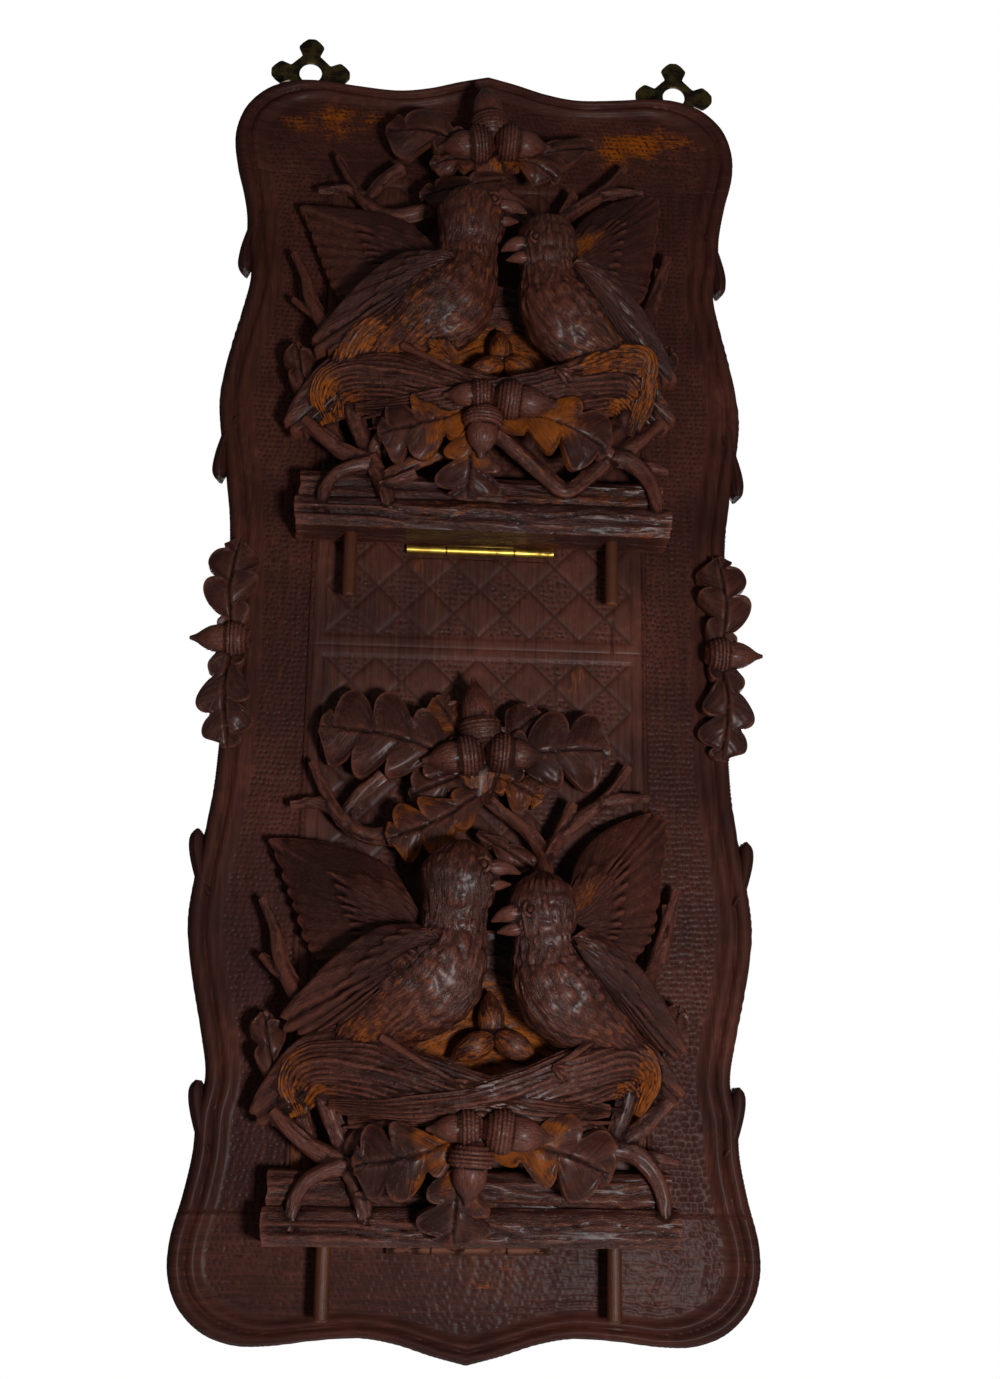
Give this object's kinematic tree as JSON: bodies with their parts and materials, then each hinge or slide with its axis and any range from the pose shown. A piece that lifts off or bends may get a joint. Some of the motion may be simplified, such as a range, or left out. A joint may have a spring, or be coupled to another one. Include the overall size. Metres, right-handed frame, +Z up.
{
  "type": "carved wall rack",
  "caption": "Carved walnut wall rack for letters and papers: a moulded, waved backboard with pierced bird, nest and oak fronts that tip forward on hinges.",
  "frame": {"origin": "middle of the board on its wall face", "axes": "+Z up the wall, the front faces -Y, +Y into the wall"},
  "size_m": [0.334, 0.085, 0.8116],
  "materials": {
    "board_walnut": "dark stained, waxed, stippled ground",
    "panel_walnut": "stained, lattice carved",
    "carved_walnut": "dark stained, waxed, worn on the high points",
    "peg_wood": "turned, satin",
    "hinge_brass": "bright rolled brass",
    "hanger_brass": "dark patina"
  },
  "bodies": {
    "back": {"top_rail": "board_walnut", "bottom_rail": "board_walnut", "left_stile": "board_walnut", "right_stile": "board_walnut", "upper_panel": "panel_walnut", "lower_panel": "panel_walnut", "left_oak_sprig": "carved_walnut", "right_oak_sprig": "carved_walnut", "upper_hinge_leaf": "hinge_brass", "upper_hinge_pin": "hinge_brass", "lower_hinge_leaf": "hinge_brass", "lower_hinge_pin": "hinge_brass", "left_hanger": "hanger_brass", "right_hanger": "hanger_brass"},
    "upper_front": {"upper_carving": "carved_walnut", "upper_left_peg": "peg_wood", "upper_right_peg": "peg_wood", "upper_front_leaf": "hinge_brass"},
    "lower_front": {"lower_carving": "carved_walnut", "lower_left_peg": "peg_wood", "lower_right_peg": "peg_wood", "lower_front_leaf": "hinge_brass"}
  },
  "joints": [
    {"name": "upper_front_hinge", "type": "hinge", "parent": "back", "child": "upper_front", "pos_m": [0, -0.019, 0.0638], "axis": [1, 0, 0], "range_deg": [0, 18]},
    {"name": "lower_front_hinge", "type": "hinge", "parent": "back", "child": "lower_front", "pos_m": [0, -0.019, -0.3312], "axis": [1, 0, 0], "range_deg": [0, 15]}
  ]
}
